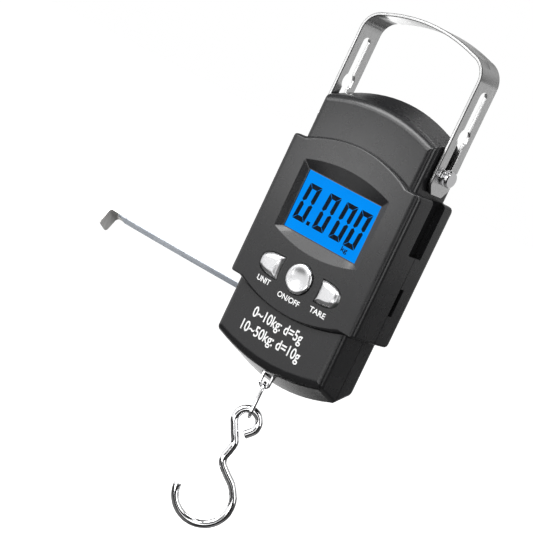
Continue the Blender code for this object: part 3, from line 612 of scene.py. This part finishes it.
def d_outline(side, grow):
    """The D-shaped key's outline, finer than the solid's."""
    inner = 10.7 - grow
    outer = 22.0 + grow
    half = 4.9 + grow
    outline = []
    for i in range(OUTLINE_POINTS + 1):
        angle = math.pi / 2 - math.pi * i / OUTLINE_POINTS
        x = inner + (outer - inner) * abs(math.cos(angle)) ** 0.62
        z = half * math.copysign(abs(math.sin(angle)) ** 0.8, math.sin(angle))
        outline.append((x, z))
    for i in range(1, 14):
        t = i / 14
        outline.append((inner + 0.45 * 4 * t * (1 - t), -half + 2 * half * t))
    return [(side * x, z) for x, z in outline]


def key_cap(name, outlines, body, node):
    """Stacked rings from the stem up to a closed crown."""

    def build(bm):
        rings = [[bm.verts.new(at(x, y, KEY_ROW_Z + z)) for x, z in ring] for y, ring in outlines]
        for first, second in zip(rings, rings[1:]):
            for j in range(len(first)):
                k = (j + 1) % len(first)
                bm.faces.new((first[j], second[j], second[k], first[k]))
        bm.faces.new(rings[0])
        bm.faces.new(rings[-1][::-1])

    mesh = mesh_of(name, build)
    mesh.shade_smooth()
    mesh.set_sharp_from_angle(angle=math.radians(60))
    obj = piece(name, mesh, FINISHES["key_metal"], body)
    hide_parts(node)


def d_cap(name, side, body, node):
    """The crown falls away to the key's edges, with a broad rounding and a soft ridge."""
    base = d_outline(side, 0.0)
    middle_x = side * D_MIDDLE_X
    shoulder_y = KEY_FRONT_Y + CROWN_HEIGHT
    outlines = [(D_FOOT_Y, d_outline(side, -0.05)), (shoulder_y, base)]
    steps = 12
    for i in range(steps + 1):
        t = i / steps
        shrink = 1 - 0.98 * t
        height = CROWN_HEIGHT * math.sin(min(t * 2.0, 1.0) * math.pi / 2) ** 0.7
        ring = [(middle_x + (x - middle_x) * shrink, z * shrink) for x, z in base]
        outlines.append((shoulder_y - height, ring))
    key_cap(name, outlines, body, node)


def round_cap():
    """The power key: a rounded rim round a shallow dish."""
    turns = [2 * math.pi * j / DISH_SIDES for j in range(DISH_SIDES)]
    outlines = []
    for radius, depth in DISH_PROFILE:
        ring = [(radius * math.cos(turn), radius * math.sin(turn)) for turn in turns]
        outlines.append((KEY_FRONT_Y + depth, ring))
    key_cap("power_cap", outlines, "power_key", "power_button")


d_cap("unit_cap", -1, "unit_key", "unit_button")
d_cap("tare_cap", 1, "tare_key", "tare_button")
round_cap()


def prism(bm, outline, y_front, y_back):
    """A flat shape from an outline of (x, z) points, between two depths."""
    front = [bm.verts.new(at(x, y_front, z)) for x, z in outline]
    back = [bm.verts.new(at(x, y_back, z)) for x, z in outline]
    bm.faces.new(front)
    bm.faces.new(back[::-1])
    for i in range(len(outline)):
        j = (i + 1) % len(outline)
        bm.faces.new((front[i], back[i], back[j], front[j]))


SHADE_SHEET_HALF = 0.2
SHADE_SHEET_LOW_Z = -60.0
SHADE_SHEET_HIGH_Z = -8.0
SHADE_SHEET_DEPTHS = (1.7, 2.6)


def parting_rib(bm):
    """A thin dark sheet inside the casing, level with the parting line: painted shade for the gap, so that no
    light shows through it.
    """
    outline = [(-SHADE_SHEET_HALF, SHADE_SHEET_LOW_Z), (SHADE_SHEET_HALF, SHADE_SHEET_LOW_Z), (SHADE_SHEET_HALF, SHADE_SHEET_HIGH_Z), (-SHADE_SHEET_HALF, SHADE_SHEET_HIGH_Z)]
    prism(bm, outline, *SHADE_SHEET_DEPTHS)


# Painted shade: a near-black sheet in the parting gap, where the casing's inside is only shade.
shade_sheet_mesh = mesh_of("parting_rib", parting_rib)
piece("parting_rib", shade_sheet_mesh, FINISHES["dark_plastic"], "casing")

INK_WHITE = printed_ink("ink_white", (0.93, 0.93, 0.93))
TAPE_PAINT = printed_ink("tape_paint", (0.50, 0.50, 0.49))
INK_BLACK = printed_ink("ink_black", (0.02, 0.02, 0.022))
LCD_INK = printed_ink("lcd_segment", (0.002, 0.006, 0.014), 0.05)


def text_mesh(name, words, **settings):
    """Words as a mesh in the font's own units, with any other settings of the text curve."""
    curve = bpy.data.curves.new(name, "FONT")
    curve.body = words
    curve.size = 1.0
    for setting, value in settings.items():
        setattr(curve, setting, value)
    guide = bpy.data.objects.new(name + "_guide", curve)
    bpy.context.scene.collection.objects.link(guide)
    bpy.context.view_layer.update()
    shaped = guide.evaluated_get(bpy.context.evaluated_depsgraph_get())
    mesh = bpy.data.meshes.new_from_object(shaped)
    mesh.name = name
    bpy.data.objects.remove(guide)
    return mesh


def lettering(name, words, sides, levels, y, finish, bold):
    """Words as a thin mesh on the casing that fills a box: (left, right) by (top, bottom)."""
    left, right = sides
    top, bottom = levels
    mesh = text_mesh(name, words, offset=bold, extrude=0.01, resolution_u=6)
    xs = [v.co.x for v in mesh.vertices]
    ys = [v.co.y for v in mesh.vertices]
    wide = (right - left) / (max(xs) - min(xs))
    tall = (top - bottom) / (max(ys) - min(ys))
    for v in mesh.vertices:
        x = left + (v.co.x - min(xs)) * wide
        z = bottom + (v.co.y - min(ys)) * tall
        v.co = at(x, y - v.co.z * 3.0, z)
    piece(name, mesh, finish, "casing")


# Labels under the keys and the two capacity lines below them: sides, levels, depth and boldness
FACE_Y = -14.8
LOWER_Y = -12.8
INK_LIFT = 0.06
LABELS = (
    ("label_unit", "UNIT", (-19.6, -12.4), (-27.1, -29.5), FACE_Y, 0.018),
    ("label_power", "ON/OFF", (-6.9, 5.2), (-28.9, -31.3), FACE_Y, 0.018),
    ("label_tare", "TARE", (10.6, 19.2), (-27.8, -30.2), FACE_Y, 0.018),
    ("range_fine", "0~10kg: d=5g", (-15.3, 12.6), (-39.4, -45.4), LOWER_Y, 0.014),
    ("range_coarse", "10~50kg: d=10g", (-18.0, 15.2), (-46.4, -52.4), LOWER_Y, 0.014),
)
for name, words, sides, levels, face_y, bold in LABELS:
    lettering(name, words, sides, levels, face_y - INK_LIFT, INK_WHITE, bold)


# Digits of the display: four slanted noughts of six segments, a decimal point and the unit

DIGIT_BOTTOM = -0.3
DIGIT_TOP = 16.0
DIGIT_SLANT = 0.088
SEGMENT = 2.05  # breadth of a segment
SEGMENT_GAP = 0.07
DIGIT_Y = -12.14
DIGIT_DEPTH = 0.05
DIGIT_SIDES = ((-18.7, -12.1), (-7.6, -1.3), (1.7, 8.0), (9.8, 16.1))
DECIMAL_POINT = ((-10.9, -0.3), (-9.2, -0.3), (-9.1, 1.4), (-10.8, 1.4))


def digit_zero(left, right):
    """Outlines of the six lit segments of a nought: mitred bars, its two halves parted at mid height."""
    middle = (DIGIT_TOP + DIGIT_BOTTOM) / 2
    gap = SEGMENT_GAP
    outlines = []
    for level, side in ((DIGIT_TOP, -1), (DIGIT_BOTTOM, 1)):
        inner = level + side * SEGMENT
        outlines.append(
            [
                (left + 2 * gap, level),
                (right - 2 * gap, level),
                (right - SEGMENT, inner),
                (left + SEGMENT, inner),
            ]
        )
        for edge, inward in ((left, 1), (right, -1)):
            outlines.append(
                [
                    (edge, level + side * 3 * gap),
                    (edge + inward * SEGMENT, inner + side * 2 * gap),
                    (edge + inward * SEGMENT, middle - side * (gap + SEGMENT / 2)),
                    (edge + inward * SEGMENT * 0.45, middle - side * gap),
                    (edge, middle - side * (gap + SEGMENT * 0.3)),
                ]
            )
    slanted = []
    for outline in outlines:
        slanted.append([(x + (z - DIGIT_BOTTOM) * DIGIT_SLANT, z) for x, z in outline])
    return slanted


def lcd_digits(bm):
    for left, right in DIGIT_SIDES:
        for outline in digit_zero(left, right):
            prism(bm, outline, DIGIT_Y, DIGIT_Y - DIGIT_DEPTH)
    prism(bm, DECIMAL_POINT, DIGIT_Y, DIGIT_Y - DIGIT_DEPTH)


piece("lcd_digits", mesh_of("lcd_digits", lcd_digits), LCD_INK, "casing")
lettering("lcd_unit", "kg", (10.1, 13.4), (-0.7, -3.4), DIGIT_Y, LCD_INK, 0.02)


# Tape blade and its print

TAPE_Y = 6.6
TAPE_Z = -38.8
TAPE_TILT = math.radians(-27)
TAPE_HALF = 3.4
TAPE_DROOP = 0.9
REEL_X = -14.0
TIP_X = -116.0
BLADE_THICKNESS = 0.18
BLADE_START_X = REEL_X - 12.0
BLADE_REACH = TIP_X - BLADE_START_X
ZERO_X = TIP_X - 5.2  # where the printed scale would start
PRINT_HALF = TAPE_HALF * 0.97
PAINT_LIFT = 0.055
INK_ON_PAINT_LIFT = 0.075
TICK_HALF = 0.09
FIGURE_HEIGHT = 2.7


def on_tape(x, across, lift):
    """A point on the tape: x along the casing, across its width, and lift off its middle."""
    share = (REEL_X - x) / (REEL_X - TIP_X)
    local = Vector((x, across, -TAPE_DROOP * math.sin(share * math.pi / 2) + lift))
    turned = Matrix.Rotation(TAPE_TILT, 3, "X") @ local
    return at(turned.x, TAPE_Y + turned.y, TAPE_Z + turned.z)


def crown(across):
    """The blade's cross-section is slightly curved, its middle higher than its edges."""
    return 0.1 * (1 - (across / TAPE_HALF) ** 2)


def rim_of(grid):
    """A grid's outer points in order, all the way round."""
    out = [line[0] for line in grid]
    back = [line[-1] for line in grid[-2::-1]]
    return out + grid[-1][1:] + back + grid[0][-2:0:-1]


def tape_blade(bm):
    """The curved blade: an upper and a lower grid, joined round their rims."""
    columns = 60
    rows = 6
    half = BLADE_THICKNESS / 2
    rims = []
    for side in (1, -1):
        grid = []
        for i in range(columns + 1):
            x = BLADE_START_X + BLADE_REACH * i / columns
            line = []
            for j in range(rows + 1):
                across = TAPE_HALF * (2 * j / rows - 1)
                line.append(bm.verts.new(on_tape(x, across, crown(across) - 0.05 + side * half)))
            grid.append(line)
        for first, second in zip(grid, grid[1:]):
            for j in range(rows):
                bm.faces.new((first[j], second[j], second[j + 1], first[j + 1]))
        rims.append(rim_of(grid))
    upper, lower = rims
    for i in range(len(upper)):
        j = (i + 1) % len(upper)
        bm.faces.new((upper[i], lower[i], lower[j], upper[j]))


def strip_patch(bm, x0, x1, across0, across1, lift):
    corners = [(x0, across0), (x1, across0), (x1, across1), (x0, across1)]
    verts = [bm.verts.new(on_tape(x, across, crown(across) + lift)) for x, across in corners]
    bm.faces.new(verts)


def tape_ground(bm):
    """Pale paint on the upper face."""
    steps = 50
    for i in range(steps):
        x0 = BLADE_START_X + BLADE_REACH * i / steps
        x1 = BLADE_START_X + BLADE_REACH * (i + 1) / steps
        for j in range(4):
            low = PRINT_HALF * (j / 2 - 1)
            high = PRINT_HALF * ((j + 1) / 2 - 1)
            strip_patch(bm, x0, x1, low, high, PAINT_LIFT)


def tape_ticks(bm):
    """A line each millimetre along the front edge, longer at fives and tens."""
    for i in range(4, 92):
        x = ZERO_X + i
        if i % 10 == 0:
            length = 5.2
        elif i % 5 == 0:
            length = 2.6
        else:
            length = 1.6
        strip_patch(bm, x - TICK_HALF, x + TICK_HALF, -PRINT_HALF, length - PRINT_HALF, INK_ON_PAINT_LIFT)


def tape_number(value):
    """The figure beside a centimetre line."""
    mesh = text_mesh(f"tape_figure_{value}", str(value))
    last_x = max(v.co.x for v in mesh.vertices)
    ys = [v.co.y for v in mesh.vertices]
    low_y = min(ys)
    scale = FIGURE_HEIGHT / (max(ys) - low_y)
    for v in mesh.vertices:
        x = ZERO_X + 10 * value - 0.6 - (last_x - v.co.x) * scale
        across = -0.2 + (v.co.y - low_y) * scale
        v.co = on_tape(x, across, crown(across) + INK_ON_PAINT_LIFT)
    return mesh


def tape():
    """The blade with its print, each piece on the casing with a mesh of its own."""
    made = [
        ("tape_blade", mesh_of("tape_blade", tape_blade), FINISHES["tape_steel"]),
        ("tape_ground", mesh_of("tape_ground", tape_ground), TAPE_PAINT),
        ("tape_ticks", mesh_of("tape_ticks", tape_ticks), INK_BLACK),
    ]
    for value in range(1, 9):
        made.append((f"tape_figure_{value}", tape_number(value), INK_BLACK))
    for name, mesh, finish in made:
        obj = piece(name, mesh, finish, "casing")
        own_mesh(obj)
        if name == "tape_blade":
            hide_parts("tape_strip")


tape()


# Studio


FLOOR_HALF = 6.0
FLOOR_Z = -0.42
PAPER_WHITE = (0.93, 0.93, 0.93)
PAPER_SHADE = tuple(c * 0.99 for c in PAPER_WHITE)


def floor_grid(bm):
    bmesh.ops.create_grid(bm, x_segments=8, y_segments=8, size=FLOOR_HALF)


def floor():
    """A plain pale floor below the hanging scale."""
    mesh = mesh_of("floor", floor_grid)
    obj = bpy.data.objects.new("floor", mesh)
    obj.location = (0, 0, FLOOR_Z)
    bpy.context.scene.collection.objects.link(obj)
    graph = Graph("floor_paper", PAPER_WHITE, 0.9)
    graph.colour_by(graph.noise(3.0), [(0.0, PAPER_SHADE), (1.0, PAPER_WHITE)])
    graph.set("Emission Color", (1.0, 1.0, 1.0, 1.0))
    graph.set("Emission Strength", 0.8)
    mesh.materials.append(graph.material)
    # The floor doesn't light the scale from below; the room's own shading does that.
    obj.visible_diffuse = False
    obj.visible_glossy = False


floor()


def softbox(name, location, target, size, power):
    """A rectangular light of that size and power, aimed at the target and hidden from the camera."""
    light = bpy.data.lights.new(name, "AREA")
    light.shape = "RECTANGLE"
    light.size, light.size_y = size
    light.energy = power
    obj = bpy.data.objects.new(name, light)
    obj.location = location
    obj.visible_camera = False
    obj.rotation_euler = (Vector(location) - Vector(target)).to_track_quat("Z", "Y").to_euler()
    bpy.context.scene.collection.objects.link(obj)


middle = at(0, 0, -10)
panel_spot = at(0, -14.8, 27)
leg_spot = at(0, 0, 55)
softbox("key", (-0.55, -0.75, 0.75), middle, (0.7, 0.5), 9.0)
softbox("right_strip", (1.1, -0.15, 0.25), middle, (0.42, 1.1), 4.4)
softbox("top", (0.0, 0.25, 0.9), middle, (0.9, 0.5), 7.0)
softbox("low_front", (0.15, -1.3, -0.5), middle, (0.8, 0.25), 3.0)
# These two lie where the flat front faces mirror the camera's line.
softbox("left_wide", middle + Vector((-0.585, -0.80, -0.11)) * 0.9, middle, (1.0, 0.5), 1.5)
softbox("left_high", middle + Vector((-0.56, -0.76, 0.34)) * 0.9, middle, (0.9, 0.24), 2.6)
softbox("left_side", (-0.9, -0.13, -0.15), middle, (0.5, 0.6), 0.8)
softbox("back", middle + Vector((0.05, 1.0, -0.02)) * 1.2, middle, (0.9, 0.9), 2.6)
softbox("camera_side", middle + Vector((0.58, -0.81, 0.1)) * 1.3, middle, (0.3, 1.0), 1.5)
softbox("tape_low", at(-280, 200, -160), at(-90, 0, -38), (0.3, 0.3), 0.3)
softbox("back_left", middle + Vector((-0.58, 0.81, -0.1)) * 1.2, middle, (0.9, 1.1), 1.5)
softbox("top_front", (0.25, -0.75, 0.9), middle, (0.4, 0.4), 6.0)
# A near one that shades the middle panel, and one for the strap's right leg.
near_spot = panel_spot + Vector((-0.57, -0.82, -0.056)) * 0.22
softbox("left_near", near_spot, panel_spot, (0.05, 0.05), 0.026)
softbox("right_back", at(200, 290, 42), leg_spot, (0.16, 0.15), 0.026)


# Brightness round the room: left, front (0.25), right (0.5), back (0.75) and left again. The two
# dark gaps give the strap's and the wires' roundings their thin dark lines.
AROUND_THE_ROOM = [
    (0.0, 0.7),
    (0.15, 1.0),
    (0.33, 0.6),
    (0.39, 0.04),
    (0.43, 0.04),
    (0.50, 0.9),
    (0.68, 1.0),
    (0.82, 0.7),
    (0.88, 0.04),
    (0.91, 0.04),
    (0.97, 0.7),
]


# Brightness from straight down (0) past the horizon (0.5) to straight up (1).
UP_THE_ROOM = [
    (0.0, 0.32),
    (0.18, 0.36),
    (0.24, 0.12),
    (0.42, 0.10),
    (0.47, 0.22),
    (0.62, 0.3),
    (0.8, 0.9),
    (1.0, 0.6),
]


def grey_stops(node, stops):
    fill_ramp(node, [(position, (value, value, value)) for position, value in stops])


def world():
    """White to the camera; a grey studio with a brighter ceiling to everything that reflects it."""
    made = bpy.data.worlds.new("studio")
    made.use_nodes = True
    tree = made.node_tree
    tree.nodes.clear()
    output = tree.nodes.new("ShaderNodeOutputWorld")
    white = tree.nodes.new("ShaderNodeBackground")
    white.inputs["Color"].default_value = (1, 1, 1, 1)
    white.inputs["Strength"].default_value = 1.0
    room = tree.nodes.new("ShaderNodeBackground")
    room.inputs["Strength"].default_value = 0.55
    coordinates = tree.nodes.new("ShaderNodeTexCoord")
    split = tree.nodes.new("ShaderNodeSeparateXYZ")
    ramp = tree.nodes.new("ShaderNodeValToRGB")
    grey_stops(ramp, UP_THE_ROOM)
    around = tree.nodes.new("ShaderNodeTexGradient")
    around.gradient_type = "RADIAL"
    turn = tree.nodes.new("ShaderNodeValToRGB")
    grey_stops(turn, AROUND_THE_ROOM)
    # The Mix node's colour sockets share their names with its number ones, so they go by position.
    both = tree.nodes.new("ShaderNodeMix")
    both.data_type = "RGBA"
    both.blend_type = "MULTIPLY"
    both.inputs["Factor"].default_value = 1.0
    half = tree.nodes.new("ShaderNodeMapRange")
    half.inputs["From Min"].default_value = -1.0
    tree.links.new(coordinates.outputs["Generated"], split.inputs["Vector"])
    tree.links.new(split.outputs["Z"], half.inputs["Value"])
    tree.links.new(half.outputs["Result"], ramp.inputs["Fac"])
    tree.links.new(coordinates.outputs["Generated"], around.inputs["Vector"])
    tree.links.new(around.outputs["Fac"], turn.inputs["Fac"])
    tree.links.new(ramp.outputs["Color"], both.inputs[6])
    tree.links.new(turn.outputs["Color"], both.inputs[7])
    tree.links.new(both.outputs[2], room.inputs["Color"])
    path = tree.nodes.new("ShaderNodeLightPath")
    mix = tree.nodes.new("ShaderNodeMixShader")
    tree.links.new(path.outputs["Is Camera Ray"], mix.inputs["Fac"])
    tree.links.new(room.outputs["Background"], mix.inputs[1])
    tree.links.new(white.outputs["Background"], mix.inputs[2])
    tree.links.new(mix.outputs["Shader"], output.inputs["Surface"])
    bpy.context.scene.world = made


world()


# Camera: above and to the right of the display's axis, rolled so that the scale leans


LENS_MM = 148.59
CAMERA_AZIMUTH = math.radians(35.74)
CAMERA_ELEVATION = math.radians(6.33)
CAMERA_PLACE = at(506.937, -743.820, 76.637)
CAMERA_RIGHT = Vector((0.70621806, 0.56633148, 0.42488198))


def camera():
    made = bpy.data.cameras.new("camera")
    made.lens = LENS_MM
    made.sensor_width = 36.0
    obj = bpy.data.objects.new("camera", made)
    back = Vector(
        (
            math.sin(CAMERA_AZIMUTH) * math.cos(CAMERA_ELEVATION),
            -math.cos(CAMERA_AZIMUTH) * math.cos(CAMERA_ELEVATION),
            math.sin(CAMERA_ELEVATION),
        )
    )
    right = (CAMERA_RIGHT - back * CAMERA_RIGHT.dot(back)).normalized()
    up = back.cross(right)
    turn = Matrix((right, up, back)).transposed()
    obj.matrix_world = Matrix.Translation(CAMERA_PLACE) @ turn.to_4x4()
    bpy.context.scene.collection.objects.link(obj)
    bpy.context.scene.camera = obj


camera()
bpy.context.scene.view_settings.view_transform = "Standard"
